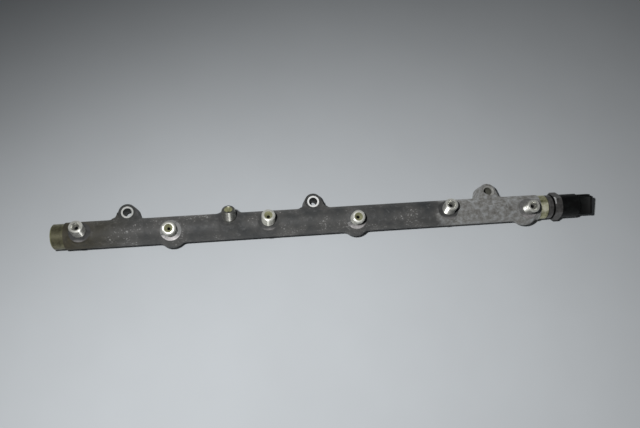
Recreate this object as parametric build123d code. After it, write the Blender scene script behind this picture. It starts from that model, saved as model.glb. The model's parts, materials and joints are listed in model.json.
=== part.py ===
from build123d import *
import os
from math import cos, radians, sin, tan

# ----------------------------------------------------------------------------
# Common rail of a straight-six diesel engine, with its pressure sensor.
# Millimetres. X runs along the rail, Z along the mounting bolts, and the lugs
# are on the +Y side. The origin is on the middle bolt's axis, on the mounting
# face of its lug.
# ----------------------------------------------------------------------------

# Mounting lugs
lug_pitch = 194.0            # two cylinder spacings
lug_offset = 21.0            # bolt axis to rail axis
lug_thickness = 18.0         # mounting face to bolt seat
lug_base_dia = 21.8          # at the mounting face
lug_draft = 6.0              # degrees
lug_forged_height = 20.5     # before the bolt seat is milled
lug_web_fillet = 6.0         # lug side into the tube's side
lug_web_share = 0.95         # most of the straight side that this fillet may take
bolt_hole_dia = 9.0
bolt_seat_dia = 18.6
bolt_land_dia = 12.6         # ring that the bolt head presses bright
bolt_land_depth = 0.25

# Forged tube
rail_dia = 28.0
rail_clearance = 0.5         # tube's underside above the mounting faces
rail_left_end = 267.5        # middle bolt to each end face
rail_right_end = 256.4
turned_dia = 26.0
turned_left_length = 13.0
turned_right_length = 9.9
turned_chamfer = 1.2
bore_dia = 10.0

# Ports: place along the rail, and lean of each row from the bolt axes
outlet_1_x = -238.0
outlet_2_x = -148.6
inlet_x = -89.2
outlet_3_x = -49.0
outlet_4_x = 43.2
outlet_5_x = 142.6
outlet_6_x = 231.6
outlet_lean = 7.5            # degrees, alternately to -Y and +Y
inlet_lean = 30.0
port_offset = 2.5            # port axis to rail axis, towards -Y
outlet_tip_height = 28.0     # rail axis to the tip, along the port
inlet_tip_height = 26.3

# Port boss, forged
boss_face_height = 13.4      # rail axis to the spot face
boss_draft = 3.0             # degrees
boss_dia = 24.0              # at the spot face
bulb_dia = 28.4              # forged bulb on the side that the port leans to
bulb_offset = 5.0            # rail axis to the bulb's centre

# Port nipple, turned on the forging
thread_dia = 14.0
thread_tip_chamfer = 0.9
relief_dia = 12.0
relief_width = 1.5
nipple_rim_width = 1.9       # flat ring round the sealing cone
cone_angle = 60.0
port_bore_dia = 3.2          # below the sealing cone
port_drill_dia = 2.6         # below a throttle

# Throttle pressed into each outlet
throttle_length = 5.0
throttle_depth = 3.0         # below the sealing cone
throttle_orifice_dia = 0.8
throttle_chamfer = 0.3

# End ports, the same at both ends of the bore
end_thread_dia = 17.0        # at the pitch line of the M18 thread
thread_clearance = 0.05
end_thread_depth = 14.0
end_seat_angle = 60.0
end_mouth_chamfer = 1.2

# Screwed end of plug and sensor, alike
shank_thread_length = 9.5
shank_relief_dia = 15.0
shank_nose_dia = 12.5

# Closing plug in the left end
plug_recess = 1.5            # plug head below the rail's end face
plug_chamfer = 0.8
plug_socket_across_flats = 8.0
plug_socket_depth = 6.0

# Sensor body, steel
sensor_gap = 0.5             # rail end face to sensor collar
collar_dia = 25.6
collar_length = 4.9
collar_chamfer = 0.4
undercut_dia = 22.0
undercut_width = 1.1
hex_across_flats = 27.0
hex_length = 8.6
hex_clock = 13.0             # degrees, a flat turned from +Z towards -Y
hex_chamfer = 25.0           # degrees
sensor_cavity_dia = 20.0
sensor_cavity_depth = 7.6
sensor_passage_dia = 3.0

# Measuring cell and electronics, in the sensor body
cell_dia = 9.0
cell_height = 4.2
diaphragm_thickness = 0.6
cell_pocket_dia = 6.0
carrier_height = 5.0
carrier_bore_dia = 11.0
board_thickness = 1.2
chip_size = 4.0
chip_height = 1.0
chip_offset = 3.6            # board centre to chip centre
electronics_clearance = 0.15

# Plastic connector
spigot_clearance = 0.1
spigot_length = 5.2
spigot_wall = 1.5
seal_groove_depth = 1.0
seal_groove_width = 1.9
seal_groove_setback = 1.6    # hex face to groove
seal_width = 1.5
base_dia = 25.6
base_length = 21.2
base_chamfer = 1.2
socket_width = 20.4
socket_height = 16.0
socket_corner = 3.5
socket_wall = 1.7
socket_length = 21.1
socket_depth = 24.0          # mouth to socket floor
rim_length = 5.5
rim_projection = 0.3
web_thickness = 5.0
connector_clock = 48.0       # degrees, the socket's broad side turned from +Z towards -Y
latch_width = 6.0
latch_length = 4.5
latch_height = 1.4
latch_setback = 6.0          # mouth to the latch ramp's high edge
latch_clock = -90.0          # degrees, the ramp turned from the broad side's middle towards +Y
key_width = 4.6
key_length = 3.0
key_height = 0.6
key_setback = 4.6            # hex face to the index key
key_clock = -6.8             # degrees, the key turned from +Z towards -Y
terminal_pitch = 4.0
terminal_width = 1.5
terminal_thickness = 0.8
terminal_recess = 8.0        # terminal tip below the mouth
terminal_taper = 0.5
terminal_taper_length = 1.5

# ------------------------------------------------------------ worked-out sizes
rail_r = rail_dia / 2
rail_axis = Pos(0, -lug_offset, rail_r + rail_clearance)
lug_places = [-lug_pitch, 0.0, lug_pitch]
collar_x = rail_right_end + sensor_gap
undercut_x = collar_x + collar_length
hex_x = undercut_x + undercut_width
hex_end_x = hex_x + hex_length
cavity_floor_x = hex_end_x - sensor_cavity_depth
board_x = cavity_floor_x + carrier_height
board_top_x = board_x + board_thickness
base_end_x = hex_end_x + base_length
mouth_x = base_end_x + socket_length
socket_floor_x = mouth_x - socket_depth
spigot_dia = sensor_cavity_dia - 2 * spigot_clearance
groove_dia = spigot_dia - 2 * seal_groove_depth
spigot_inner_dia = groove_dia - 2 * spigot_wall
electronics_dia = spigot_inner_dia - 2 * electronics_clearance
end_bore_dia = end_thread_dia + 2 * thread_clearance
cone_mouth_dia = thread_dia - 2 * thread_tip_chamfer - 2 * nipple_rim_width
cone_depth = (cone_mouth_dia - port_bore_dia) / 2 / tan(radians(cone_angle / 2))
throttle_top = outlet_tip_height - cone_depth - throttle_depth
throttle_foot = throttle_top - throttle_length


class Port:
    """One pipe connection: where it stands on the rail, and how it leans."""

    def __init__(self, x, lean, tip_height, bulb_y=None, throttled=True):
        self.x = x
        self.tip_height = tip_height
        self.bulb_y = bulb_y
        self.throttled = throttled
        self.place = Pos(x, 0, 0) * Rot(-lean, 0, 0) * Pos(0, -port_offset, 0)


outlets = [
    Port(outlet_1_x, outlet_lean, outlet_tip_height),
    Port(outlet_2_x, -outlet_lean, outlet_tip_height, bulb_y=-bulb_offset),
    Port(outlet_3_x, outlet_lean, outlet_tip_height),
    Port(outlet_4_x, -outlet_lean, outlet_tip_height, bulb_y=-bulb_offset),
    Port(outlet_5_x, outlet_lean, outlet_tip_height),
    Port(outlet_6_x, -outlet_lean, outlet_tip_height, bulb_y=-bulb_offset),
]
inlet = Port(inlet_x, inlet_lean, inlet_tip_height, bulb_y=bulb_offset, throttled=False)
ports = outlets + [inlet]


# --------------------------------------------------------------------- helpers
def turned(points):
    """A body turned about the X axis from its half section: (x, radius) points."""
    return revolve(make_face(Polyline(*points, close=True)), Axis.X)


def drilled(x, diameter, length):
    """A round hole or bar along X, from x towards +X."""
    return turned([(x, 0), (x, diameter / 2), (x + length, diameter / 2), (x + length, 0)])


def upright(points):
    """A body turned about the Z axis from its half section: (radius, z) points."""
    return revolve(make_face(Plane.XZ * Polyline(*points, close=True)), Axis.Z)


def across(sketch, x, clock=0.0):
    """A sketch stood across the rail at x, its own up turned from +Z towards -Y."""
    return Pos(x, 0, 0) * Rot(clock, 0, 0) * (Plane.YZ * sketch)


# ------------------------------------------------------------ forged rail body
def lug_outline(z):
    """The lug in plan at height z: round nose, straight sides, flared into the tube."""
    r = lug_base_dia / 2 - z * tan(radians(lug_draft))
    flare = min(lug_web_fillet, lug_web_share * (lug_offset - rail_r))
    root_y = rail_r - lug_offset
    bend_x = flare * (1 - cos(radians(45)))
    bend_y = flare * (1 - sin(radians(45)))
    outline = [ThreePointArc((-r, 0), (0, r), (r, 0))]
    for side in (-1, 1):
        foot = (side * (r + flare), root_y)
        start = (side * r, root_y + flare)
        outline.append(Line((side * r, 0), start))
        outline.append(ThreePointArc(start, (side * (r + bend_x), root_y + bend_y), foot))
        outline.append(Line(foot, (side * (r + flare), -lug_offset)))
    outline.append(Line((-r - flare, -lug_offset), (r + flare, -lug_offset)))
    return Pos(0, 0, z) * make_face(outline)


def lug_forging(x):
    """Drafted lug, from its mounting face to the forged top."""
    return Pos(x, 0, 0) * loft([lug_outline(0), lug_outline(lug_forged_height)], ruled=True)


def boss_forging(port):
    """Drafted boss of a port, from the rail axis up to its spot face."""
    top_r = boss_dia / 2
    foot_r = top_r + boss_face_height * tan(radians(boss_draft))
    boss = upright([(0, 0), (foot_r, 0), (top_r, boss_face_height), (0, boss_face_height)])
    return port.place * boss


def bulb_forging(port):
    """Round bulb of the forging beside a port."""
    return Pos(port.x, port.bulb_y, 0) * Sphere(bulb_dia / 2)


def spot_facing(port):
    """What the cutter clears above a port's spot face."""
    return port.place * Pos(0, 0, boss_face_height) * extrude(Circle(boss_dia / 2), rail_dia)


def nipple(port):
    """Threaded nipple of a port, from inside the boss to the flat rim at its tip."""
    tip = port.tip_height
    thread_r = thread_dia / 2
    relief_r = relief_dia / 2
    relief_top = boss_face_height + relief_width
    return port.place * upright([
        (0, boss_face_height / 2),
        (relief_r, boss_face_height / 2),
        (relief_r, relief_top),
        (thread_r, relief_top + thread_r - relief_r),
        (thread_r, tip - thread_tip_chamfer),
        (thread_r - thread_tip_chamfer, tip),
        (0, tip),
    ])


def port_hole(port):
    """Sealing cone and drilling of a port; the drilling is narrower under a throttle."""
    tip = port.tip_height
    wide_r = port_bore_dia / 2
    foot = [(0, 0), (wide_r, 0)]
    if port.throttled:
        narrow_r = port_drill_dia / 2
        foot = [(0, 0), (narrow_r, 0), (narrow_r, throttle_foot), (wide_r, throttle_foot)]
    return port.place * upright(foot + [
        (wide_r, tip - cone_depth),
        (cone_mouth_dia / 2, tip),
        (cone_mouth_dia / 2, tip + 1),
        (0, tip + 1),
    ])


def end_cut(face_x, length):
    """What turning takes off an end of the forging, and off its rim."""
    r = turned_dia / 2
    inward = 1 if length > 0 else -1
    step_x = face_x + length
    return turned([
        (face_x, r - turned_chamfer),
        (face_x + inward * turned_chamfer, r),
        (step_x, r),
        (step_x, rail_dia),
        (face_x, rail_dia),
    ])


def end_port(face_x, inward):
    """Threaded mouth and conical seat at one end of the bore."""
    r = end_bore_dia / 2
    foot_x = face_x + inward * end_thread_depth
    seat_x = seat_depth(bore_dia / 2)
    return turned([
        (face_x, 0),
        (face_x, r + end_mouth_chamfer),
        (face_x + inward * end_mouth_chamfer, r),
        (foot_x, r),
        (face_x + inward * seat_x, bore_dia / 2),
        (face_x + inward * seat_x, 0),
    ])


def seat_depth(r):
    """Depth below the rail's end face at which the conical seat has radius r."""
    return end_thread_depth + (end_bore_dia / 2 - r) / tan(radians(end_seat_angle / 2))


def bolt_cuts(x):
    """Clearance hole, milled bolt seat and the land that the bolt head presses."""
    place = Pos(x, 0, lug_thickness)
    return [
        Pos(x, 0, 0) * extrude(Circle(bolt_hole_dia / 2), lug_forged_height),
        place * extrude(Circle(bolt_seat_dia / 2), rail_dia),
        place * Pos(0, 0, -bolt_land_depth) * extrude(Circle(bolt_land_dia / 2), rail_dia),
    ]


def rail_body():
    """The forging, then its turned ends, spot faces, nipples and holes."""
    tube = drilled(-rail_left_end, rail_dia, rail_left_end + rail_right_end)
    bosses = [boss_forging(port) for port in ports]
    bulbs = [bulb_forging(port) for port in ports if port.bulb_y is not None]
    body = rail_axis * (tube + bosses + bulbs)
    body += [lug_forging(x) for x in lug_places]
    body -= [rail_axis * spot_facing(port) for port in ports]
    body += [rail_axis * nipple(port) for port in ports]
    cuts = [
        end_cut(-rail_left_end, turned_left_length),
        end_cut(rail_right_end, -turned_right_length),
        drilled(-rail_left_end, bore_dia, rail_left_end + rail_right_end),
        end_port(-rail_left_end, 1),
        end_port(rail_right_end, -1),
    ]
    cuts += [port_hole(port) for port in ports]
    body -= [rail_axis * cut for cut in cuts]
    for x in lug_places:
        body -= bolt_cuts(x)
    return body


# ------------------------------------------------------- pieces in the rail
def outlet_throttle(port):
    """Throttle insert, pressed down to the shoulder of its outlet's drilling."""
    r = port_bore_dia / 2
    orifice_r = throttle_orifice_dia / 2
    return rail_axis * port.place * upright([
        (orifice_r, throttle_foot),
        (r - throttle_chamfer, throttle_foot),
        (r, throttle_foot + throttle_chamfer),
        (r, throttle_top - throttle_chamfer),
        (r - throttle_chamfer, throttle_top),
        (orifice_r, throttle_top),
    ])


def shank(face_x, inward, head_x):
    """Half section of a screwed end, from its head at head_x to its nose on the seat."""
    thread_r = end_thread_dia / 2
    relief_r = shank_relief_dia / 2
    nose_r = shank_nose_dia / 2
    thread_x = head_x + inward * shank_thread_length
    return [
        (head_x, thread_r),
        (thread_x, thread_r),
        (thread_x + inward * (thread_r - relief_r), relief_r),
        (face_x + inward * seat_depth(relief_r), relief_r),
        (face_x + inward * seat_depth(nose_r), nose_r),
    ]


def end_plug():
    """Grub plug with a hexagon socket, screwed onto the seat of the left end."""
    head_x = plug_recess - rail_left_end
    outline = shank(-rail_left_end, 1, head_x)
    nose_x = outline[-1][0]
    head = [(head_x, 0), (head_x, end_thread_dia / 2 - plug_chamfer)]
    outline[0] = (head_x + plug_chamfer, end_thread_dia / 2)
    plug = turned(head + outline + [(nose_x, 0)])
    socket = RegularPolygon(plug_socket_across_flats / 2, 6, major_radius=False)
    return rail_axis * (plug - extrude(across(socket, head_x), plug_socket_depth, dir=(1, 0, 0)))


# ------------------------------------------------------------- pressure sensor
def hexagon():
    """Chamfered hexagon of the sensor body."""
    flat = RegularPolygon(hex_across_flats / 2, 6, major_radius=False)
    prism = extrude(across(flat, hex_x, hex_clock), hex_length, dir=(1, 0, 0))
    flat_r = hex_across_flats / 2
    corner_r = flat_r / cos(radians(30))
    drop = (corner_r - flat_r) * tan(radians(hex_chamfer))
    crown = turned([
        (hex_x, 0),
        (hex_x, flat_r),
        (hex_x + drop, corner_r),
        (hex_end_x - drop, corner_r),
        (hex_end_x, flat_r),
        (hex_end_x, 0),
    ])
    return prism & crown


def sensor_body():
    """Steel body: screwed shank, collar, undercut and hexagon, hollow for the electronics."""
    collar_r = collar_dia / 2
    outline = shank(rail_right_end, -1, collar_x)
    nose_x = outline[-1][0]
    steel = turned(outline[::-1] + [
        (collar_x, collar_r - collar_chamfer),
        (collar_x + collar_chamfer, collar_r),
        (undercut_x - collar_chamfer, collar_r),
        (undercut_x, collar_r - collar_chamfer),
        (undercut_x, undercut_dia / 2),
        (hex_x, undercut_dia / 2),
        (hex_x, 0),
        (nose_x, 0),
    ])
    steel += hexagon()
    steel -= drilled(nose_x, sensor_passage_dia, cavity_floor_x - nose_x)
    steel -= drilled(cavity_floor_x, sensor_cavity_dia, sensor_cavity_depth)
    return rail_axis * steel


def pressure_cell():
    """Cup with a thin diaphragm, over the passage in the cavity's floor."""
    top_x = cavity_floor_x + cell_height
    pocket_x = top_x - diaphragm_thickness
    return rail_axis * turned([
        (cavity_floor_x, cell_pocket_dia / 2),
        (cavity_floor_x, cell_dia / 2),
        (top_x, cell_dia / 2),
        (top_x, 0),
        (pocket_x, 0),
        (pocket_x, cell_pocket_dia / 2),
    ])


def board_carrier():
    """Ring on the cavity's floor that carries the board over the cell."""
    ring = drilled(cavity_floor_x, electronics_dia, carrier_height)
    return rail_axis * (ring - drilled(cavity_floor_x, carrier_bore_dia, carrier_height))


def circuit_board():
    return rail_axis * drilled(board_x, electronics_dia, board_thickness)


def signal_chip():
    square = Pos(0, chip_offset) * Rectangle(chip_size, chip_size)
    chip = extrude(across(square, board_top_x, connector_clock), chip_height, dir=(1, 0, 0))
    return rail_axis * chip


def housing_seal():
    """O-ring between the housing's spigot and the sensor body."""
    height = (sensor_cavity_dia - groove_dia) / 2
    middle_x = hex_end_x - seal_groove_setback - seal_groove_width / 2
    section = RectangleRounded(seal_width, height, height / 3)
    middle_r = (groove_dia + height) / 2
    return rail_axis * revolve(Pos(middle_x, middle_r) * section, Axis.X)


def socket_section(grow):
    """Section of the plug socket, grown all round by this much, or shrunk if negative."""
    return RectangleRounded(
        socket_width + 2 * grow,
        socket_height + 2 * grow,
        socket_corner + grow,
    )


def connector_housing():
    """Plastic base on the sensor body, with the plug socket and its latch ramp."""
    base_r = base_dia / 2
    groove_x = hex_end_x - seal_groove_setback
    spigot_x = hex_end_x - spigot_length
    base = turned([
        (spigot_x, 0),
        (spigot_x, spigot_dia / 2),
        (groove_x - seal_groove_width, spigot_dia / 2),
        (groove_x - seal_groove_width, groove_dia / 2),
        (groove_x, groove_dia / 2),
        (groove_x, spigot_dia / 2),
        (hex_end_x, spigot_dia / 2),
        (hex_end_x, base_r),
        (base_end_x - base_chamfer, base_r),
        (base_end_x, base_r - base_chamfer),
        (base_end_x, 0),
    ])
    socket = extrude(across(socket_section(0), base_end_x, connector_clock), socket_length, dir=(1, 0, 0))
    rim_face = across(socket_section(rim_projection), mouth_x - rim_length, connector_clock)
    rim = extrude(rim_face, rim_length, dir=(1, 0, 0))
    housing = base + socket + rim + latch_ramp() + index_key()
    well_face = across(socket_section(-socket_wall), socket_floor_x, connector_clock)
    housing -= extrude(well_face, socket_depth, dir=(1, 0, 0))
    web_x = socket_floor_x - web_thickness
    housing -= drilled(spigot_x, spigot_inner_dia, web_x - spigot_x)
    housing -= [terminal_slot(n) for n in range(3)]
    return rail_axis * housing


def latch_ramp():
    """Ramp on the socket's upper narrow side that a plug's latch snaps over."""
    high_x = mouth_x - latch_setback
    side_z = socket_width / 2
    foot_z = side_z - socket_wall / 2
    side = Polyline(
        (high_x, foot_z),
        (high_x, side_z + latch_height),
        (high_x + latch_length, side_z),
        (high_x + latch_length, foot_z),
        close=True,
    )
    ramp = extrude(make_face(Plane.XZ * side), latch_width / 2, both=True)
    return Rot(connector_clock + latch_clock, 0, 0) * ramp


def index_key():
    """Small raised key on the base."""
    key_x = hex_end_x + key_setback + key_length / 2
    height = base_dia / 2 + key_height
    key = Pos(key_x, 0, height / 2) * Box(key_length, key_width, height)
    return Rot(key_clock, 0, 0) * key


def terminal_slot(n):
    """Room for blade n in the web, as the blade fills it."""
    web_x = socket_floor_x - web_thickness
    blade = Pos((n - 1) * terminal_pitch, 0) * Rectangle(terminal_width, terminal_thickness)
    return extrude(across(blade, web_x, connector_clock), web_thickness, dir=(1, 0, 0))


def terminal(n):
    """Blade n, from the board through the web into the socket."""
    tip_x = mouth_x - terminal_recess
    outline = Polyline(
        (board_top_x, -terminal_width / 2),
        (tip_x - terminal_taper_length, -terminal_width / 2),
        (tip_x, terminal_taper - terminal_width / 2),
        (tip_x, terminal_width / 2 - terminal_taper),
        (tip_x - terminal_taper_length, terminal_width / 2),
        (board_top_x, terminal_width / 2),
        close=True,
    )
    blade = extrude(make_face(outline), terminal_thickness / 2, both=True)
    return rail_axis * Rot(connector_clock, 0, 0) * Pos(0, (n - 1) * terminal_pitch, 0) * blade


# ----------------------------------------------------------------------- pieces
pieces = {
    "rail_body": rail_body(),
    "end_plug": end_plug(),
    "sensor_body": sensor_body(),
    "pressure_cell": pressure_cell(),
    "board_carrier": board_carrier(),
    "circuit_board": circuit_board(),
    "signal_chip": signal_chip(),
    "housing_seal": housing_seal(),
    "connector_housing": connector_housing(),
}
for number, outlet in enumerate(outlets, start=1):
    pieces[f"outlet_throttle_{number}"] = outlet_throttle(outlet)
for n in range(3):
    pieces[f"terminal_{n + 1}"] = terminal(n)

os.makedirs("parts", exist_ok=True)
for name, piece in pieces.items():
    export_step(piece, f"parts/{name}.step")
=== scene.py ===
# %% [markdown]
# # A diesel common rail, dressed for its portrait
# A common rail is a thick steel tube that stores fuel at very high pressure. It is forged in one
# piece with its bolt lugs and the round bosses of its pipe connections. Then a lathe and a mill
# cut only the places that have to be exact. So two skins meet on one part: rough dark forging,
# and bright machined metal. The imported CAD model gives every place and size. This script adds
# the soft forged blends, the screw threads and the finishes.

# %% Load the frame
import json
from math import cos, pi, radians, sin, tan

import bmesh
import bpy
import numpy as np
from mathutils import Matrix, Vector


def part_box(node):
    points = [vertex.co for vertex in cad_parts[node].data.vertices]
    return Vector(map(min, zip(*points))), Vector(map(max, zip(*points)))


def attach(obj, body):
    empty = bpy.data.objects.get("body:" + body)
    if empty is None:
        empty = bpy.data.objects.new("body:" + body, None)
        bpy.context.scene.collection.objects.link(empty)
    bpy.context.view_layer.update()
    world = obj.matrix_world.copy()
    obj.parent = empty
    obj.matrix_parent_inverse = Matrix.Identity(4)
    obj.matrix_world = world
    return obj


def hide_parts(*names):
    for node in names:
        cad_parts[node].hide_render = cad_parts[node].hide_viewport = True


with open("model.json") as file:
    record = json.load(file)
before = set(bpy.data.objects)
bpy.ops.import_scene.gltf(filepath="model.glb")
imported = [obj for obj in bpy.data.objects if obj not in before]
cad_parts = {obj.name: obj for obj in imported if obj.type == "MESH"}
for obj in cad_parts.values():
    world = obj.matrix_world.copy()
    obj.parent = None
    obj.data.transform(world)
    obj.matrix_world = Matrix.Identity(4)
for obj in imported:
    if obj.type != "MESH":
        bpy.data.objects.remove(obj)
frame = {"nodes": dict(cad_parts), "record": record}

MM = 0.001
scene = bpy.context.scene
cad_nodes = frame["nodes"]
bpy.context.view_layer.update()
mounts = {mount["name"]: mount for mount in frame["record"]["mounts"]}
print("CAD nodes:", sorted(cad_nodes))

# %% [markdown]
# ## The camera
# The camera looks down on the rail from a little more than half a metre, almost along the bolts.
# A camera in Blender looks along its own -Z, so it is turned by three small angles and then
# backed away from the point that it aims at. The focal length is given in pixels of the
# picture, because that is how a lens is measured from a picture, and Blender wants it in
# millimetres of a 36 mm wide sensor.

# %% Camera
picture_width = 640
sensor_width = 36.0
focal_pixels = 582.05
camera_aim = Vector((6.465, -13.406, 14.5)) * MM
camera_distance = 623.37 * MM
camera_pitch = radians(17.430)
camera_yaw = radians(-5.880)
camera_roll = radians(-3.460)

camera_turn = (
    Matrix.Rotation(camera_pitch, 3, "X")
    @ Matrix.Rotation(camera_yaw, 3, "Y")
    @ Matrix.Rotation(camera_roll, 3, "Z")
)
camera_place = camera_aim + camera_turn @ Vector((0, 0, camera_distance))
camera_data = bpy.data.cameras.new("camera")
camera_data.sensor_width = sensor_width
camera_data.lens = focal_pixels * sensor_width / picture_width
camera = bpy.data.objects.new("camera", camera_data)
camera.matrix_world = Matrix.Translation(camera_place) @ camera_turn.to_4x4()
scene.collection.objects.link(camera)
scene.camera = camera
print("camera stands", round(camera_place.z, 3), "m over the floor")

# %% [markdown]
# ## Light and floor
# One soft lamp hangs close to the camera, a hand's width towards the lugs, so the rail throws
# only a thin shadow on its near side. It points at the near side of the floor and its cone is
# wide and fully blended, so the light fades towards the far corners. A weak even sky fills the
# rest. The floor is one plain pale sheet under the mounting faces of the lugs.

# %% Lamp and sky
lamp_radius = 0.015
lamp_power = 16.5
lamp_cone = radians(156)
lamp_shift = Vector((-0.085, 0.075, 0.0))
lamp_aim = Vector((0.015, -0.46, 0.0))
sky_strength = 0.05

lamp_data = bpy.data.lights.new("soft_lamp", "SPOT")
lamp_data.shadow_soft_size = lamp_radius
lamp_data.energy = lamp_power
lamp_data.spot_size = lamp_cone
lamp_data.spot_blend = 1.0
lamp = bpy.data.objects.new("soft_lamp", lamp_data)
lamp_place = camera_place + lamp_shift
lamp_turn = (lamp_place - lamp_aim).to_track_quat("Z", "Y").to_matrix()
lamp.matrix_world = Matrix.Translation(lamp_place) @ lamp_turn.to_4x4()
scene.collection.objects.link(lamp)

sky = bpy.data.worlds.new("sky")
scene.world = sky
sky.use_nodes = True
sky_light = sky.node_tree.nodes["Background"]
sky_light.inputs["Color"].default_value = (0.93, 0.97, 1.0, 1.0)
sky_light.inputs["Strength"].default_value = sky_strength
scene.view_settings.view_transform = "Standard"
print("lamp", lamp_power, "W, sky", sky_strength)

# %% Floor
floor_size = 6.0
floor_color = (0.58, 0.605, 0.625)

floor_shape = bmesh.new()
bmesh.ops.create_grid(floor_shape, x_segments=1, y_segments=1, size=floor_size / 2)
floor_mesh = bpy.data.meshes.new("floor")
floor_shape.to_mesh(floor_mesh)
floor_shape.free()
floor = bpy.data.objects.new("floor", floor_mesh)
scene.collection.objects.link(floor)
print("floor", floor_size, "m wide")

# %% [markdown]
# ## Building materials from nodes
# Every finish here starts from the Principled shader. Small helpers add the three things that
# real surfaces need: a vector in object space, so a pattern has a true size in millimetres;
# noise that turns into two or three colours; and a bump that gives the same pattern some depth.

# %% Helpers for materials
def start_material(name, roughness, metallic):
    """A new material, with its node tree and its Principled shader."""
    material = bpy.data.materials.new(name)
    material.use_nodes = True
    tree = material.node_tree
    shader = tree.nodes["Principled BSDF"]
    shader.inputs["Roughness"].default_value = roughness
    shader.inputs["Diffuse Roughness"].default_value = 1.0
    shader.inputs["Metallic"].default_value = metallic
    return material, tree, shader


def object_vector(tree, stretch=(1, 1, 1), shift=(0, 0, 0)):
    """Object coordinates in metres, stretched and shifted."""
    coordinates = tree.nodes.new("ShaderNodeTexCoord")
    mapping = tree.nodes.new("ShaderNodeMapping")
    mapping.inputs["Location"].default_value = shift
    mapping.inputs["Scale"].default_value = stretch
    tree.links.new(coordinates.outputs["Object"], mapping.inputs["Vector"])
    return mapping.outputs["Vector"]


def noise(tree, vector, size, detail=4.0, rough=0.6):
    """Noise from 0 to 1 whose blobs are about this size, in millimetres."""
    node = tree.nodes.new("ShaderNodeTexNoise")
    node.inputs["Scale"].default_value = 1 / (size * MM)
    node.inputs["Detail"].default_value = detail
    node.inputs["Roughness"].default_value = rough
    tree.links.new(vector, node.inputs["Vector"])
    return node.outputs["Fac"]


def graded(tree, value, stops):
    """A colour, or a grey, that changes with value: stops are (position, (r, g, b))."""
    node = tree.nodes.new("ShaderNodeValToRGB")
    elements = node.color_ramp.elements
    while len(elements) < len(stops):
        elements.new(1.0)
    for element, (position, color) in zip(elements, stops):
        element.position = position
        element.color = (*color, 1.0)
    tree.links.new(value, node.inputs["Fac"])
    return node.outputs["Color"]


def share(tree, value, low, high):
    """0 below low, 1 above high, and a straight run between."""
    node = tree.nodes.new("ShaderNodeMapRange")
    node.inputs["From Min"].default_value = low
    node.inputs["From Max"].default_value = high
    tree.links.new(value, node.inputs["Value"])
    return node.outputs["Result"]


def mixed(tree, factor, under, over):
    """Colour under, covered by colour over where factor is 1."""
    node = tree.nodes.new("ShaderNodeMix")
    node.data_type = "RGBA"
    color_a, color_b = [socket for socket in node.inputs if socket.type == "RGBA"]
    color_result = [socket for socket in node.outputs if socket.type == "RGBA"][0]
    tree.links.new(factor, node.inputs[0])
    tree.links.new(under, color_a)
    tree.links.new(over, color_b)
    return color_result


def times(tree, first, second):
    """The product of two values."""
    node = tree.nodes.new("ShaderNodeMath")
    node.operation = "MULTIPLY"
    tree.links.new(first, node.inputs[0])
    tree.links.new(second, node.inputs[1])
    return node.outputs["Value"]


def band(tree, value, low, high, soft):
    """1 between low and high, 0 outside, with soft flanks."""
    return times(tree, share(tree, value, low - soft, low), share(tree, value, high + soft, high))


def along(tree, vector, axis):
    """One coordinate of a vector."""
    node = tree.nodes.new("ShaderNodeSeparateXYZ")
    tree.links.new(vector, node.inputs["Vector"])
    return node.outputs[axis]


def bumped(tree, shader, value, depth, under=None):
    """Gives the shader a bump of this depth in millimetres, over another bump if given."""
    node = tree.nodes.new("ShaderNodeBump")
    node.inputs["Strength"].default_value = 1.0
    node.inputs["Distance"].default_value = depth * MM
    tree.links.new(value, node.inputs["Height"])
    if under is not None:
        tree.links.new(under, node.inputs["Normal"])
    tree.links.new(node.outputs["Normal"], shader.inputs["Normal"])
    return node.outputs["Normal"]


# %% Floor paint
paint, tree, shader = start_material("pale_floor", 0.85, 0.0)
spots = noise(tree, object_vector(tree), 160.0, detail=3.0)
darker = tuple(0.98 * part for part in floor_color)
lighter = tuple(1.02 * part for part in floor_color)
tree.links.new(graded(tree, spots, [(0.3, darker), (0.7, lighter)]), shader.inputs["Base Color"])
floor_mesh.materials.append(paint)
print("floor paint", floor_color)

# %% [markdown]
# ## Forged skin
# Forging scale is a thin dark oxide. It is never one grey: it is mottled in patches as wide as
# a thumb, finely speckled, and rubbed paler on the side that was near the hot sensor end. The
# pattern is built from three sizes of noise. A slow change along the rail mixes in the paler,
# rougher finish of the right third and the oily brown of the left end.

# %% Forged skin material
wander_reach = 70.0
pale_zone = (166.0, 184.0)
oily_zone = (-150.0, -215.0)


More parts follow.
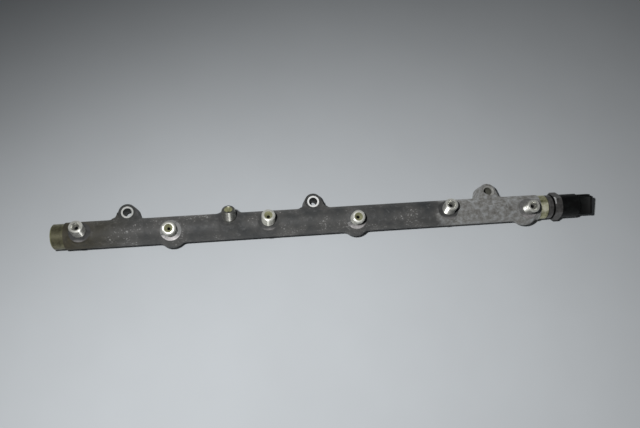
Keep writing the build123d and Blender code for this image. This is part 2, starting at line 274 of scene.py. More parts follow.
def forged_skin():
    """Dark mottled scale, paler towards the sensor end and oily at the left end."""
    material, tree, shader = start_material("forged_skin", 0.7, 0.08)
    vector = object_vector(tree)
    wide = noise(tree, vector, 22.0, detail=5.0, rough=0.62)
    middle = noise(tree, object_vector(tree, shift=(0.7, 0.3, 0.1)), 5.0, detail=5.0, rough=0.7)
    fine = noise(tree, vector, 1.1, detail=3.0)
    speck = noise(tree, object_vector(tree, shift=(0.4, 0.9, 0.2)), 1.6, detail=3.0, rough=0.5)
    dark = graded(tree, wide, [
        (0.30, (0.040, 0.043, 0.045)),
        (0.50, (0.072, 0.072, 0.070)),
        (0.72, (0.118, 0.114, 0.108)),
    ])
    scuff = graded(tree, fine, [(0.3, (0.085, 0.086, 0.087)), (0.7, (0.16, 0.16, 0.158))])
    scuffed = mixed(tree, share(tree, middle, 0.55, 0.72), dark, scuff)
    chips = times(tree, share(tree, speck, 0.60, 0.66), share(tree, wide, 0.50, 0.58))
    bare = graded(tree, fine, [(0.3, (0.20, 0.20, 0.20)), (0.7, (0.42, 0.42, 0.41))])
    scuffed = mixed(tree, chips, scuffed, bare)
    pale = graded(tree, middle, [
        (0.30, (0.125, 0.118, 0.105)),
        (0.50, (0.245, 0.244, 0.236)),
        (0.70, (0.40, 0.42, 0.43)),
    ])
    x = along(tree, vector, "X")
    wander = tree.nodes.new("ShaderNodeMath")
    wander.operation = "MULTIPLY_ADD"
    tree.links.new(wide, wander.inputs[0])
    wander.inputs[1].default_value = wander_reach * MM
    tree.links.new(x, wander.inputs[2])
    right = share(tree, wander.outputs["Value"], pale_zone[0] * MM, pale_zone[1] * MM)
    body = mixed(tree, right, scuffed, pale)
    oil = graded(tree, middle, [(0.3, (0.030, 0.027, 0.018)), (0.7, (0.075, 0.066, 0.042))])
    left = share(tree, wander.outputs["Value"], oily_zone[0] * MM, oily_zone[1] * MM)
    tree.links.new(mixed(tree, left, body, oil), shader.inputs["Base Color"])
    rough = graded(tree, middle, [(0.3, (0.55, 0.55, 0.55)), (0.7, (0.80, 0.80, 0.80))])
    tree.links.new(rough, shader.inputs["Roughness"])
    grain = bumped(tree, shader, fine, 0.10)
    bumped(tree, shader, middle, 0.20, under=grain)
    return material


skin_finish = forged_skin()
print("material", skin_finish.name)

# %% [markdown]
# ## Machined finishes
# A fresh cut is bright steel. After years under a bonnet the big turned ends are stained yellow
# and olive, the spot faces round the nipples are dull, the bolts have polished a ring on each
# lug, and the sealing cones are olive. One function makes most of them, from a dark and a bright
# colour and the size of the tool marks. The right collar and the spot faces also get a painted
# highlight, and the drillings are painted near black as painted shade, so each has a function of
# its own.

# %% Machined metal
def machined(
    name, dark, bright, roughness, mark_size=2.5, mark_depth=0.04, metallic=0.75, stretch=(1, 1, 1),
):
    """Cut metal: a stain between two colours, and tool marks of this size and depth."""
    material, tree, shader = start_material(name, roughness, metallic)
    stain = noise(tree, object_vector(tree), 3.0 * mark_size, detail=4.0, rough=0.65)
    marks = noise(tree, object_vector(tree, stretch=stretch), mark_size, detail=2.0)
    tree.links.new(graded(tree, stain, [(0.32, dark), (0.66, bright)]), shader.inputs["Base Color"])
    low = (roughness - 0.08,) * 3
    high = (roughness + 0.14,) * 3
    tree.links.new(graded(tree, stain, [(0.3, high), (0.7, low)]), shader.inputs["Roughness"])
    bumped(tree, shader, marks, mark_depth)
    return material


lathe_marks = (7, 0.3, 0.3)
left_finish = machined(
    "turned_left_end", (0.085, 0.080, 0.050), (0.24, 0.23, 0.145), 0.36, mark_size=1.6, metallic=0.6,
    stretch=lathe_marks,
)
edge_finish = machined(
    "turned_edge", (0.16, 0.16, 0.06), (0.34, 0.33, 0.16), 0.35, mark_size=1.6, metallic=0.6,
)


def right_collar(highlight_low_y, highlight_high_y):
    """Yellow stain on fine lathe rings, and a painted highlight: a pale band painted along the collar."""
    material, tree, shader = start_material("turned_right_end", 0.34, 0.5)
    vector = object_vector(tree)
    stain = noise(tree, vector, 5.0, detail=4.0, rough=0.65)
    rings = noise(tree, object_vector(tree, stretch=lathe_marks), 1.6, detail=2.0)
    olive = graded(tree, stain, [(0.34, (0.15, 0.15, 0.07)), (0.64, (0.52, 0.51, 0.33))])
    # Painted highlight: this pale colour is painted in a band across Y, where the lamp's reflection runs
    # along the collar.
    pale = graded(tree, stain, [(0.30, (0.60, 0.59, 0.38)), (0.60, (0.95, 0.94, 0.80))])
    highlight_band = band(tree, along(tree, vector, "Y"), highlight_low_y * MM, highlight_high_y * MM, 3.0 * MM)
    tree.links.new(mixed(tree, highlight_band, olive, pale), shader.inputs["Base Color"])
    bumped(tree, shader, rings, 0.04)
    return material


# The collar's painted highlight band lies between Y -28 and -21.5 mm.
right_finish = right_collar(-28.0, -21.5)


def painted_black_shade(name):
    """Near-black steel with no specular reflection: painted shade for deep holes that the lamp does not
    reach.
    """
    material, tree, shader = start_material(name, 0.9, 0.0)
    shader.inputs["Specular IOR Level"].default_value = 0.0
    shade_variation = noise(tree, object_vector(tree), 2.0, detail=2.0)
    painted_shade = graded(tree, shade_variation, [(0.3, (0.004,) * 3), (0.7, (0.012,) * 3)])
    tree.links.new(painted_shade, shader.inputs["Base Color"])
    return material


def spot_facing(highlight_fade_y, highlight_full_y, dark_end, pale_start):
    """The ring that a facing tool cuts: dull like the skin, with a painted highlight on its -Y side."""
    material, tree, shader = start_material("spot_face", 0.45, 0.3)
    vector = object_vector(tree)
    stain = noise(tree, vector, 4.0, detail=4.0, rough=0.65)
    dark = graded(tree, stain, [(0.3, (0.055, 0.056, 0.056)), (0.7, (0.11, 0.11, 0.108))])
    pale = graded(tree, stain, [(0.3, (0.15, 0.15, 0.145)), (0.7, (0.27, 0.27, 0.265))])
    dull = mixed(tree, share(tree, along(tree, vector, "X"), dark_end * MM, pale_start * MM), dark, pale)
    # Painted highlight: this bright colour is painted on the -Y side of each spot face, the side towards the
    # lamp.
    bright = graded(tree, stain, [(0.3, (0.20, 0.19, 0.19)), (0.7, (0.50, 0.48, 0.48))])
    # depth is the mask of the painted highlight, across Y.
    depth = share(tree, along(tree, vector, "Y"), highlight_fade_y * MM, highlight_full_y * MM)
    tree.links.new(mixed(tree, depth, dull, bright), shader.inputs["Base Color"])
    bumped(tree, shader, noise(tree, vector, 1.5, detail=2.0), 0.03)
    return material


# Painted highlight on the spot faces from Y -29 mm outwards; the paler zone from X 150 mm is the rail's own
# colour.
spot_finish = spot_facing(-29.0, -33.5, 150.0, 175.0)
seat_finish = machined("bolt_seat", (0.030, 0.032, 0.032), (0.065, 0.065, 0.063), 0.6, metallic=0.2)
wall_finish = machined("seat_wall", (0.07, 0.072, 0.07), (0.16, 0.16, 0.155), 0.55, metallic=0.3)
land_finish = machined("bolt_land", (0.72, 0.73, 0.72), (0.93, 0.93, 0.92), 0.48, metallic=0.35)
worn_land_finish = machined("worn_bolt_land", (0.46, 0.47, 0.45), (0.74, 0.74, 0.72), 0.5, metallic=0.35)
dull_land_finish = machined("dull_bolt_land", (0.30, 0.30, 0.28), (0.48, 0.48, 0.46), 0.5, metallic=0.3)
bore_finish = machined("bore", (0.02, 0.02, 0.019), (0.055, 0.055, 0.052), 0.5, metallic=0.5)
pale_bore_finish = machined("pale_bore", (0.06, 0.06, 0.05), (0.13, 0.13, 0.11), 0.6, metallic=0.1)
foot_finish = machined("mounting_face", (0.28, 0.28, 0.27), (0.42, 0.42, 0.40), 0.4)
print("materials so far", len(bpy.data.materials))

# %% [markdown]
# ## Sizes of the rail
# The places come from the frame: each bolt and port is a mount of the record, and the closing
# plug's box gives the rail's axis. The rest are the drawing's own sizes, in millimetres.

# %% Sizes
rail_dia = 28.0
turned_dia = 26.0
turned_left = 13.0
turned_right = 9.9
turned_chamfer = 1.2
bore_dia = 10.0
end_thread_dia = 17.1
end_thread_depth = 14.0
end_mouth_chamfer = 1.2
seat_angle = radians(60)
lug_base_dia = 21.76
lug_draft = radians(6)
lug_spread = radians(17)
lug_root_radii = (4.5, 4.5, 2.0)
lug_height = 22.0
crown_slope = 0.9
crown_stock = 0.2
lug_thickness = 18.0
bolt_seat_dia = 18.6
bolt_land_dia = 12.6
bolt_land_depth = 0.25
boss_dia = 24.0
boss_face = 13.4
boss_draft = radians(3)
boss_shoulder = 2.0
shoulder_inset = 0.4
facing_stock = 0.5
facing_dia = 21.5
bulb_dia = 28.4
bulb_offset = 5.0
tip_chamfer = 0.9
outlet_tip = 28.0
inlet_tip = 26.3
drilling_dia = 3.2
stock = 1.8

plug_low, plug_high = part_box("end_plug")
body_low, body_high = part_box("rail_body")
rail_y = (plug_low.y + plug_high.y) / 2 / MM
rail_z = (plug_low.z + plug_high.z) / 2 / MM
left_end = body_low.x / MM
right_end = body_high.x / MM
bolt_places = [Vector(mounts[f"bolt_{n}"]["pos_m"]) / MM for n in (1, 2, 3)]
bolt_hole = 2 * mounts["bolt_1"]["dims"]["r_mm"]
print("rail axis at", round(rail_y, 2), round(rail_z, 2))
print("rail from", round(left_end, 1), "to", round(right_end, 1))

# %% Ports
class Port:
    """A pipe connection: its name, tip height, and the matrix that stands a shape on its axis."""

    def __init__(self, name, tip, bulb_side):
        place = Vector(mounts[name]["pos_m"]) / MM
        axis = Vector(mounts[name]["axis"])
        self.name = name
        self.tip = tip
        self.bulb_side = bulb_side
        self.x = place.x
        foot = place - axis * (tip - tip_chamfer)
        turn = axis.to_track_quat("Z", "Y").to_matrix().to_4x4()
        self.matrix = Matrix.Scale(MM, 4) @ Matrix.Translation(foot) @ turn


ports = [Port(f"outlet_{n}", outlet_tip, -1 if n % 2 == 0 else 0) for n in range(1, 7)]
ports.append(Port("inlet", inlet_tip, 1))
print("ports at", [round(port.x, 1) for port in ports])

# %% [markdown]
# ## The rough forging
# On the real rail the die leaves soft blends where lugs and bosses grow out of the tube. Such
# blends are hard to bevel, because many surfaces meet at odd angles. Here the simple solids are
# only laid into one mesh, overlapping. A voxel remesh then melts them into one skin, as a die
# melts them into one forging.

# %% Helpers for solids
def stand(mesh_shape, made, matrix):
    """Moves the newly made vertices by a matrix."""
    bmesh.ops.transform(mesh_shape, matrix=matrix, verts=made["verts"])


def bar(shape, radius_low, radius_high, low, high, matrix, segments=96):
    """A round bar or cone from low to high along its own Z, stood in place by a matrix."""
    made = bmesh.ops.create_cone(
        shape, cap_ends=True, segments=segments, radius1=radius_low, radius2=radius_high, depth=high - low,
    )
    stand(shape, made, matrix @ Matrix.Translation((0, 0, (low + high) / 2)))


def lug_loop(shape, x, z, root_radius, slope=0.0):
    """One level of a lug: round nose, spreading sides, and an arc into the tube's side."""
    radius = lug_base_dia / 2 - z * tan(lug_draft)
    nose = []
    for step in range(25):
        angle = lug_spread + (pi - 2 * lug_spread) * step / 24
        nose.append((radius * cos(angle), radius * sin(angle)))
    arc_y = rail_y + rail_dia / 2 + root_radius
    drop = (arc_y - nose[0][1]) * sin(lug_spread)
    arc_x = nose[0][0] + (root_radius - drop) / cos(lug_spread)
    root = [(arc_x, rail_y)]
    for step in range(9):
        angle = 1.5 * pi - (pi / 2 - lug_spread) * step / 8
        root.append((arc_x + root_radius * cos(angle), arc_y + root_radius * sin(angle)))
    other_root = [(-px, py) for px, py in reversed(root)]
    loop = []
    for px, py in root + nose + other_root:
        rise = slope * max(0, -py - bolt_land_dia / 2)
        loop.append(shape.verts.new((x + px, py, z + rise)))
    return loop


def lug(shape, x, root_radius, top, slope=0.0):
    """A drafted lug between two levels, with stock below its mounting face."""
    before = set(shape.faces)
    low = lug_loop(shape, x, -stock, root_radius)
    high = lug_loop(shape, x, top, root_radius, slope)
    low_face = shape.faces.new(reversed(low))
    high_face = shape.faces.new(high)
    edges = list(low_face.edges) + list(high_face.edges)
    bmesh.ops.bridge_loops(shape, edges=edges)
    made = [face for face in shape.faces if face not in before]
    bmesh.ops.recalc_face_normals(shape, faces=made)


# %% Lay the solids together
forging = bmesh.new()
lie_along_x = Matrix.Translation((0, rail_y, rail_z)) @ Matrix.Rotation(radians(90), 4, "Y")
bar(forging, rail_dia / 2, rail_dia / 2, left_end - stock, right_end + stock, lie_along_x, segments=160)
for bolt, root_radius in zip(bolt_places[:2], lug_root_radii):
    lug(forging, bolt.x, root_radius, lug_height)
lug(forging, bolt_places[2].x, lug_root_radii[2], lug_thickness + crown_stock, crown_slope)
for port in ports:
    in_mm = Matrix.Scale(1 / MM, 4) @ port.matrix
    foot_radius = boss_dia / 2 + boss_face * tan(boss_draft)
    shoulder = boss_face - boss_shoulder
    bar(forging, foot_radius, boss_dia / 2, 0, shoulder, in_mm)
    shoulder_top = boss_face + facing_stock
    bar(forging, boss_dia / 2, facing_dia / 2 - shoulder_inset, shoulder, shoulder_top, in_mm)
    if port.bulb_side:
        made = bmesh.ops.create_uvsphere(forging, u_segments=64, v_segments=40, radius=bulb_dia / 2)
        middle = Matrix.Translation((port.x, rail_y + port.bulb_side * bulb_offset, rail_z))
        stand(forging, made, middle)
bmesh.ops.scale(forging, vec=(MM, MM, MM), verts=forging.verts)
print("rough forging:", len(forging.faces), "faces in overlapping solids")

# %% Melt them into one skin
voxel = 0.90

def finished(name, shape):
    """A scene object from a bmesh, at the origin."""
    mesh = bpy.data.meshes.new(name)
    shape.to_mesh(mesh)
    shape.free()
    piece = bpy.data.objects.new(name, mesh)
    scene.collection.objects.link(piece)
    return piece


def applied(piece):
    """Replaces a piece's mesh by what its modifiers make of it."""
    graph = bpy.context.evaluated_depsgraph_get()
    result = bpy.data.meshes.new_from_object(piece.evaluated_get(graph))
    piece.modifiers.clear()
    piece.data = result
    return piece


skin = finished("rail_forging", forging)
remesh = skin.modifiers.new("melt", "REMESH")
remesh.mode = "VOXEL"
remesh.voxel_size = voxel * MM
applied(skin)
print("one skin of", len(skin.data.polygons), "faces")

# %% [markdown]
# ## Soft blends, only in the corners
# Smoothing everything would shrink the tube. A vertex in a hollow corner has its neighbours'
# middle on its outer side, so it is moved outwards, and all others stay. After a few dozen
# rounds the corners have filled to a radius of several millimetres, as a forging die has them.

# %% Fill the corners
def neighbour_middle(places, ends, counts):
    """The middle of each vertex's neighbours."""
    total = np.zeros_like(places)
    for axis in range(3):
        total[:, axis] = (
            np.bincount(ends[:, 0], places[ends[:, 1], axis], len(places))
            + np.bincount(ends[:, 1], places[ends[:, 0], axis], len(places))
        )
    return total / counts[:, None]


def fill_corners(mesh, rounds, step=0.5):
    """Moves vertices outwards where the surface is hollow."""
    places = np.empty(len(mesh.vertices) * 3)
    mesh.vertices.foreach_get("co", places)
    places = places.reshape(-1, 3)
    ends = np.empty(len(mesh.edges) * 2, int)
    mesh.edges.foreach_get("vertices", ends)
    ends = ends.reshape(-1, 2)
    counts = np.bincount(ends.ravel(), minlength=len(places))
    normals = np.empty(len(places) * 3)
    for turn in range(rounds):
        mesh.vertices.foreach_set("co", places.ravel())
        mesh.update()
        mesh.vertex_normals.foreach_get("vector", normals)
        outward = normals.reshape(-1, 3)
        pull = neighbour_middle(places, ends, counts) - places
        hollow = np.einsum("ij,ij->i", pull, outward) > 0
        places[hollow] += step * pull[hollow]
    mesh.vertices.foreach_set("co", places.ravel())
    mesh.update()
    return int(hollow.sum())


print("vertices in blends:", fill_corners(skin.data, rounds=45))

# %% [markdown]
# ## Machining
# Now the cutters come, as on the real rail. One long turned cutter leaves the two finished ends
# and bores the tube; one cutter per port faces the boss and drills it down to that bore; a
# stepped one per lug mills the bolt seat and drills the hole. Each face of a cutter carries the
# finish that it leaves, and the Boolean modifier passes it on to the cut.

# %% Helper for turned shapes
def turned_solid(outline, matrix, steps=96):
    """Spins an outline of (height, radius) points into a closed body, stood in place by a matrix."""
    shape = bmesh.new()
    rows = [shape.verts.new((radius, 0, height)) for height, radius in outline]
    edges = [shape.edges.new(pair) for pair in zip(rows, rows[1:])]
    bmesh.ops.spin(
        shape, geom=rows + edges, cent=(0, 0, 0), axis=(0, 0, 1), dvec=(0, 0, 0),
        angle=2 * pi, steps=steps, use_merge=True,
    )
    bmesh.ops.remove_doubles(shape, verts=shape.verts, dist=1e-4)
    bmesh.ops.recalc_face_normals(shape, faces=shape.faces)
    bmesh.ops.transform(shape, matrix=matrix, verts=shape.verts)
    return shape


# %% Cut with a shaped cutter
finishes = [
    skin_finish, left_finish, edge_finish, right_finish, spot_finish, seat_finish, wall_finish,
    land_finish, worn_land_finish, dull_land_finish, bore_finish, pale_bore_finish, foot_finish,
]


def cut(piece, cutter_shape, finish_of):
    """Takes a cutter away from a piece; finish_of gives each cutter face its finish."""
    for face in cutter_shape.faces:
        face.material_index = finishes.index(finish_of(face.calc_center_median()))
    cutter = finished("cutter", cutter_shape)
    for finish in finishes:
        cutter.data.materials.append(finish)
    boolean = piece.modifiers.new("cut", "BOOLEAN")
    boolean.operation = "DIFFERENCE"
    boolean.solver = "EXACT"
    boolean.material_mode = "TRANSFER"
    boolean.object = cutter
    applied(piece)
    bpy.data.objects.remove(cutter)


def joined(shapes):
    """Several separate bmesh shapes as one."""
    whole = bmesh.new()
    for shape in shapes:
        mesh = bpy.data.meshes.new("part")
        shape.to_mesh(mesh)
        shape.free()
        whole.from_mesh(mesh)
        bpy.data.meshes.remove(mesh)
    return whole


for finish in finishes:
    skin.data.materials.append(finish)

# %% Mill the mounting faces
shape = bmesh.new()
shape.from_mesh(skin.data)
everything = list(shape.verts) + list(shape.edges) + list(shape.faces)
sliced = bmesh.ops.bisect_plane(
    shape, geom=everything, plane_co=(0, 0, 0), plane_no=(0, 0, -1), clear_outer=True,
)
rim = [item for item in sliced["geom_cut"] if isinstance(item, bmesh.types.BMEdge)]
filled = bmesh.ops.holes_fill(shape, edges=rim, sides=0)
for face in filled["faces"]:
    face.material_index = finishes.index(foot_finish)
shape.to_mesh(skin.data)
shape.free()
print("mounting faces milled:", len(filled["faces"]))

# %% Turn the ends and bore the tube
def end_outline(end, inward, turned_length):
    """From beyond an end face to the foot of its conical seat: (x, radius) points."""
    seat_x = end_thread_depth + (end_thread_dia - bore_dia) / 2 / tan(seat_angle / 2)
    beyond = 3 * stock
    return [
        (end - inward * beyond, 0),
        (end - inward * beyond, rail_dia),
        (end + inward * turned_length, rail_dia),
        (end + inward * turned_length, turned_dia / 2),
        (end + inward * turned_chamfer, turned_dia / 2),
        (end, turned_dia / 2 - turned_chamfer),
        (end, end_thread_dia / 2 + end_mouth_chamfer),
        (end + inward * end_mouth_chamfer, end_thread_dia / 2),
        (end + inward * end_thread_depth, end_thread_dia / 2),
        (end + inward * seat_x, bore_dia / 2),
    ]


outline = end_outline(left_end, 1, turned_left) + end_outline(right_end, -1, turned_right)[::-1]
to_metres = Matrix.Scale(MM, 4)
lathe = turned_solid(outline, to_metres @ lie_along_x, steps=128)


def lathe_finish(place):
    """Bright outside, stained on the rim and the end faces, dark in the bore."""
    radius = (Vector((0, place.y, place.z)) / MM - Vector((0, rail_y, rail_z))).length
    if radius < end_thread_dia / 2 + 0.1:
        return bore_finish
    if radius < turned_dia / 2 - 0.1:
        return edge_finish
    return left_finish if place.x < 0 else right_finish


cut(skin, lathe, lathe_finish)
print("ends turned,", len(skin.data.polygons), "faces")

# %% Face the bosses and mill the bolt seats
def facing_cutter(port):
    """Faces a boss and drills it down to the tube's bore."""
    drill = drilling_dia / 2 + 0.05
    top = 2.2 * boss_face
    face_radius = facing_dia / 2
    outline = [(0, 0), (0, drill), (boss_face, drill), (boss_face, face_radius), (top, face_radius), (top, 0)]
    return turned_solid(outline, port.matrix)


def bolt_cutter(bolt):
    """Drills a lug and mills its seat; on the crowned third lug only the land is milled."""
    top = 2 * lug_thickness
    land_z = lug_thickness - bolt_land_depth
    seat_radius = bolt_land_dia / 2 + 0.1 if bolt is bolt_places[2] else bolt_seat_dia / 2
    outline = [
        (-stock, 0),
        (-stock, bolt_hole / 2),
        (land_z, bolt_hole / 2),
        (land_z, bolt_land_dia / 2),
        (lug_thickness, bolt_land_dia / 2),
        (lug_thickness, seat_radius),
        (top, seat_radius),
        (top, 0),
    ]
    return turned_solid(outline, to_metres @ Matrix.Translation(bolt))


land_finishes = [worn_land_finish, land_finish, dull_land_finish]


def milled_finish(place):
    """Land, seat or hole near a bolt; elsewhere a spot face."""
    for bolt in bolt_places:
        away = Vector((place.x / MM - bolt.x, place.y / MM - bolt.y, 0)).length
        height = place.z / MM
        if away < bolt_seat_dia / 2 + 0.1:
            if height < lug_thickness - bolt_land_depth - 0.05:
                return pale_bore_finish if bolt is bolt_places[2] else bore_finish
            if away < bolt_land_dia / 2 + 0.1:
                return land_finishes[bolt_places.index(bolt)]
            return seat_finish if height < lug_thickness + 0.05 else wall_finish
    for port in ports:
        if (port.matrix.inverted() @ place).xy.length < drilling_dia:
            return bore_finish
    return spot_finish


cutters = [facing_cutter(port) for port in ports] + [bolt_cutter(bolt) for bolt in bolt_places]
cut(skin, joined(cutters), milled_finish)
skin.data.shade_smooth()
skin.data.set_sharp_from_angle(angle=radians(32))
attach(skin, "root")
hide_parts("rail_body")
print("forging finished,", sum(len(face.vertices) - 2 for face in skin.data.polygons), "triangles")

# %% [markdown]
# ## Threaded nipples
# Each nipple is turned on the same forging: an undercut over the spot face, an M14 thread with a
# pitch of 1.5 mm, a flat rim and a 60 degree sealing cone that leads into the drilling. A thread
# could be modelled by a screw modifier, but its two ends then need a hand-made run-out. Here the
# turned blank has fine rings, and each vertex is pressed in by the thread's depth at its height
# and angle. Where the undercut and the tip chamfer are already lower, they win, and the thread
# runs out by itself.

# %% Nipple sizes
thread_dia = 14.0
thread_pitch = 1.5
thread_depth = 0.92
rings_per_pitch = 8
relief_dia = 12.0
relief_width = 1.5
rim_width = 1.9
rim_edge = 0.25
lead_in = 1.05
cone_angle = radians(60)
nipple_foot = 7.0
nipple_steps = 64
thread_low = boss_face + relief_width


def thread_radius(height, angle, tip):
    """Radius of the threaded stretch at a height and an angle round the axis."""
    turns = height / thread_pitch - angle / (2 * pi)
    wave = abs(2 * (turns % 1) - 1)
    groove = min(max(1.35 * wave - 0.2, 0), 1)
    cut_radius = thread_dia / 2 - thread_depth * groove
    run_in = thread_dia / 2 - lead_in + (tip - height)
    run_out = relief_dia / 2 + (height - thread_low)
    return min(cut_radius, run_in, max(run_out, relief_dia / 2))


# %% Nipple finishes
thread_finish = machined("thread", (0.42, 0.42, 0.37), (0.86, 0.86, 0.80), 0.34, mark_size=1.2, metallic=0.65)
rim_finish = machined(
    "nipple_rim", (0.50, 0.50, 0.46), (0.80, 0.80, 0.75), 0.38, mark_size=1.5, metallic=0.55,
)
cone_finish = machined(
    "sealing_cone", (0.17, 0.17, 0.09), (0.40, 0.40, 0.25), 0.38, mark_size=1.5, metallic=0.3,
)
# Painted shade: the drillings are painted near black.
hole_finish = painted_black_shade("drilling")
clean_cone_finish = machined(
    "clean_cone", (0.30, 0.30, 0.27), (0.75, 0.75, 0.70), 0.30, mark_size=1.5, metallic=0.85,
)
# Darker steel: its low colour is painted shade for the leaning inlet's thread and rim.
dark_thread_finish = machined(
    "dark_thread", (0.16, 0.16, 0.145), (0.60, 0.60, 0.56), 0.30, mark_size=1.2, metallic=0.9,
)
grey_thread_finish = machined(
    "grey_thread", (0.20, 0.20, 0.18), (0.72, 0.72, 0.68), 0.32, mark_size=1.0, metallic=0.75,
)
usual = [thread_finish, rim_finish, cone_finish, hole_finish]
bright_cone = [grey_thread_finish, rim_finish, clean_cone_finish, hole_finish]
# Painted shade: the inlet leans away from the lamp, so its thread and rim get the darker steel colour.
shaded_inlet = [dark_thread_finish, dark_thread_finish, cone_finish, hole_finish]
nipple_finishes = {port.name: usual for port in ports}
nipple_finishes.update(outlet_1=bright_cone, outlet_5=bright_cone, outlet_6=bright_cone, inlet=shaded_inlet)
print("nipple finishes", len(nipple_finishes))


# %% Turn and thread the nipples
def nipple(port):
    """One threaded nipple, turned as a blank and then pressed in to its thread."""
    tip = port.tip
    mouth_radius = thread_dia / 2 - tip_chamfer - rim_width
    cone_depth = (mouth_radius - drilling_dia / 2) / tan(cone_angle / 2)
    ring_step = thread_pitch / rings_per_pitch
    ring_count = int((tip - thread_low) / ring_step)
    rings = [thread_low + n * ring_step for n in range(ring_count)]
    outline = [(nipple_foot, drilling_dia / 2), (nipple_foot, relief_dia / 2)]
    outline += [(height, thread_dia / 2) for height in rings]
    outline += [
        (tip - rim_edge, thread_dia / 2),
        (tip, thread_dia / 2 - lead_in - rim_edge / 2),
        (tip, mouth_radius + rim_edge),
        (tip - rim_edge, mouth_radius),
        (tip - cone_depth, drilling_dia / 2),
        (nipple_foot, drilling_dia / 2),
    ]
    shape = turned_solid(outline, Matrix.Identity(4), steps=nipple_steps)
    for vert in shape.verts:
        radius = vert.co.xy.length
        if radius > thread_dia / 2 - 0.01:
            angle = np.arctan2(vert.co.y, vert.co.x)
            vert.co.xy *= thread_radius(vert.co.z, angle, tip) / radius
    for face in shape.faces:
        place = face.calc_center_median()
        radius = place.xy.length
        if place.z > tip - 0.8 * lead_in and radius > mouth_radius - 0.1:
            face.material_index = 1
        elif radius > relief_dia / 2 - 0.6:
            face.material_index = 0
        elif radius > drilling_dia / 2 + 0.05:
            face.material_index = 2
        else:
            face.material_index = 3
        face.smooth = True
    bmesh.ops.transform(shape, matrix=port.matrix, verts=shape.verts)
    piece = finished(f"{port.name}_nipple", shape)
    for finish in nipple_finishes[port.name]:
        piece.data.materials.append(finish)
    piece.data.set_sharp_from_angle(angle=radians(40))
    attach(piece, "root")
    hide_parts("rail_body")
    return piece


nipples = [nipple(port) for port in ports]
print("nipples:", [piece.name for piece in nipples])

# %% [markdown]
# ## Sensor and connector
# The pressure sensor's steel body has dulled to a brown grey, and its plastic housing is black
# with a little dust. The steel parts only get finishes. The housing keeps its round base, but
# its socket is drawn again with the tight corners and broken edges of a moulding. It is shorter
# and less turned than the CAD model's socket, and has a guide rib where that has a latch ramp.

# %% Finishes of the sensor's parts


def sensor_body_steel(groove_low, groove_high, edge_width, edge_middle, edge_reach):
    """Dull steel, with painted shade in the groove before the hexagon and a painted highlight on the edge
    after it.
    """
    material, tree, shader = start_material("sensor_steel", 0.42, 0.4)
    vector = object_vector(tree)
    stain = noise(tree, vector, 5.0, detail=4.0, rough=0.65)
    steel = graded(tree, stain, [(0.32, (0.060, 0.058, 0.057)), (0.66, (0.15, 0.145, 0.142))])
    # Painted shade: the near-black colour laid in the groove.
    painted_shade = graded(tree, stain, [(0.3, (0.004, 0.004, 0.004)), (0.7, (0.008, 0.008, 0.008))])
    # Painted highlight: the bright colour laid on the hexagon's edge.
    bright = graded(tree, stain, [(0.3, (0.45, 0.45, 0.45)), (0.7, (0.85, 0.85, 0.85))])
    x = along(tree, vector, "X")
    y = along(tree, vector, "Y")
    # The groove mask for the painted shade.
    groove_shade = band(tree, x, groove_low * MM, groove_high * MM, 0.2 * MM)
    # The edge masks for the painted highlight, limited in Y to where the lamp's reflection falls.
    edge = band(tree, x, (groove_high + 0.3) * MM, (groove_high + 0.3 + edge_width) * MM, 0.2 * MM)
    reach = band(tree, y, (edge_middle - edge_reach) * MM, (edge_middle + edge_reach) * MM, 1.0 * MM)
    steel_with_highlight = mixed(tree, times(tree, edge, reach), steel, bright)
    tree.links.new(mixed(tree, groove_shade, steel_with_highlight, painted_shade), shader.inputs["Base Color"])
    bumped(tree, shader, noise(tree, vector, 2.0, detail=2.0), 0.04)
    return material


connector_mount_x = mounts["connector_socket"]["pos_m"][0] / MM
hexagon_to_mount = 50.9
hexagon_low = connector_mount_x - hexagon_to_mount
# Painted shade in the groove before the hexagon, and a painted highlight on its edge near Y -18 mm.
sensor_steel = sensor_body_steel(hexagon_low - 1.2, hexagon_low + 0.1, 1.1, -18.0, 3.5)
plug_steel = machined("plug_steel", (0.10, 0.10, 0.09), (0.25, 0.25, 0.24), 0.4)
# Painted shade: the throttles sit deep in the drillings and are painted near black.
throttle_steel = painted_black_shade("throttle_steel")
cell_steel = machined("cell_steel", (0.45, 0.45, 0.44), (0.65, 0.65, 0.64), 0.3)
terminal_metal = machined(
    "terminal_metal", (0.48, 0.44, 0.32), (0.68, 0.62, 0.48), 0.3, mark_size=1.0, metallic=0.9,
)


def moulded(name, dark, dusty, roughness, dust_low=0.5, dust_high=0.8):
    """Moulded plastic or rubber with a fine grain and some dust."""
    material, tree, shader = start_material(name, roughness, 0.0)
    dust = noise(tree, object_vector(tree), 7.0, detail=6.0, rough=0.7)
    grain = noise(tree, object_vector(tree, shift=(0.2, 0.5, 0.3)), 0.5, detail=2.0)
    stops = [(dust_low, dark), (dust_high, dusty)]
    shader.inputs["Specular IOR Level"].default_value = 0.25
    tree.links.new(graded(tree, dust, stops), shader.inputs["Base Color"])
    bumped(tree, shader, grain, 0.03)
    return material


housing_plastic = moulded("housing_plastic", (0.0030, 0.0032, 0.0034), (0.012, 0.014, 0.0135), 0.50)
carrier_plastic = moulded("carrier_plastic", (0.09, 0.09, 0.09), (0.13, 0.13, 0.13), 0.5)
board_laminate = moulded("board_laminate", (0.03, 0.16, 0.06), (0.05, 0.22, 0.09), 0.4)
chip_plastic = moulded("chip_plastic", (0.02, 0.02, 0.02), (0.035, 0.035, 0.035), 0.45)
seal_rubber = moulded("seal_rubber", (0.02, 0.02, 0.02), (0.03, 0.03, 0.03), 0.6)

# %% Mould the connector socket
socket_clock = radians(23.5)
socket_length = 21.1
socket_shortfall = 5.4
socket_width = 20.0
socket_height = 15.0
socket_corner = 1.3
socket_wall = 1.1
edge_break = 0.35
rim_length = 2.8
rim_projection = 0.3
rib_width = 6.5
rib_height = 1.5

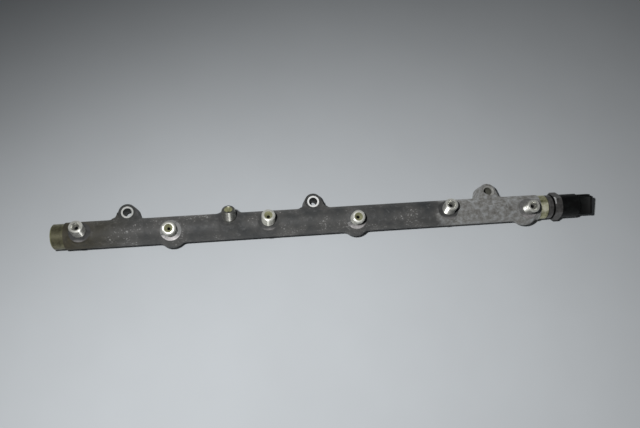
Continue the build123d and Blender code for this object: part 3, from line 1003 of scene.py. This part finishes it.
base_end = connector_mount_x - socket_length
mouth = connector_mount_x - socket_shortfall
socket_turn = Matrix.Rotation(socket_clock, 4, "X")
socket_place = Matrix.Scale(MM, 4) @ Matrix.Translation((0, rail_y, rail_z)) @ socket_turn


def socket_loop(shape, x, grow):
    """A rounded rectangle across the socket's axis, grown or shrunk all round."""
    corner = max(socket_corner + grow, 0.3)
    half_y = socket_width / 2 + grow - corner
    half_z = socket_height / 2 + grow - corner
    loop = []
    for quarter, (side_y, side_z) in enumerate([(1, 1), (-1, 1), (-1, -1), (1, -1)]):
        for step in range(7):
            angle = (quarter + step / 6) * pi / 2
            y = side_y * half_y + corner * cos(angle)
            z = side_z * half_z + corner * sin(angle)
            loop.append(shape.verts.new((x, y, z)))
    return loop


def sleeve(shape, loops):
    """A closed solid through a row of loops with equal numbers of corners."""
    for near, far in zip(loops, loops[1:]):
        for n in range(len(near)):
            shape.faces.new((near[n - 1], near[n], far[n], far[n - 1]))
    shape.faces.new(reversed(loops[0]))
    shape.faces.new(loops[-1])


def rib(shape):
    """The guide rib that runs along the far narrow side to the mouth."""
    side = socket_width / 2
    rows = []
    for x in (base_end - 1, mouth - 0.1):
        corners = [(side - 0.6, -1), (side + rib_height, -1), (side + rib_height, 1), (side - 0.6, 1)]
        rows.append([shape.verts.new((x, y, half * rib_width / 2)) for y, half in corners])
    sleeve(shape, rows)


base = cad_nodes["connector_housing"]
shape = bmesh.new()
shape.from_mesh(base.data)
bmesh.ops.transform(shape, matrix=base.matrix_world, verts=shape.verts)
everything = list(shape.verts) + list(shape.edges) + list(shape.faces)
sliced = bmesh.ops.bisect_plane(
    shape, geom=everything, plane_co=((base_end + 0.05) * MM, 0, 0), plane_no=(1, 0, 0),
    clear_outer=True,
)
cut_edges = [item for item in sliced["geom_cut"] if isinstance(item, bmesh.types.BMEdge)]
bmesh.ops.holes_fill(shape, edges=cut_edges, sides=0)
socket = bmesh.new()
outside = [(base_end - 1, 0), (mouth - rim_length - 0.3, 0), (mouth - rim_length, rim_projection)]
outside += [(mouth - edge_break, rim_projection), (mouth, rim_projection - edge_break)]
inside = [(mouth, edge_break - socket_wall), (mouth - edge_break, -socket_wall)]
inside += [(base_end + 0.3, -socket_wall)]
sleeve(socket, [socket_loop(socket, x, grow) for x, grow in outside + inside])
rib(socket)
bmesh.ops.recalc_face_normals(socket, faces=socket.faces)
bmesh.ops.transform(socket, matrix=socket_place, verts=socket.verts)
connector = finished("connector_moulding", joined([shape, socket]))
connector.data.materials.clear()
connector.data.materials.append(housing_plastic)
connector.data.shade_smooth()
connector.data.set_sharp_from_angle(angle=radians(32))
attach(connector, "root")
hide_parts("connector_housing")
print("connector moulded,", len(connector.data.polygons), "faces")

# %% Dress the CAD nodes
dressing = {
    "sensor_body": sensor_steel,
    "end_plug": plug_steel,
    "pressure_cell": cell_steel,
    "board_carrier": carrier_plastic,
    "circuit_board": board_laminate,
    "signal_chip": chip_plastic,
    "housing_seal": seal_rubber,
}
for n in range(1, 7):
    dressing[f"outlet_throttle_{n}"] = throttle_steel
for n in range(1, 4):
    dressing[f"terminal_{n}"] = terminal_metal
for name, material in dressing.items():
    for material_slot in cad_nodes[name].material_slots:
        material_slot.material = material
print("dressed", len(dressing), "CAD nodes")
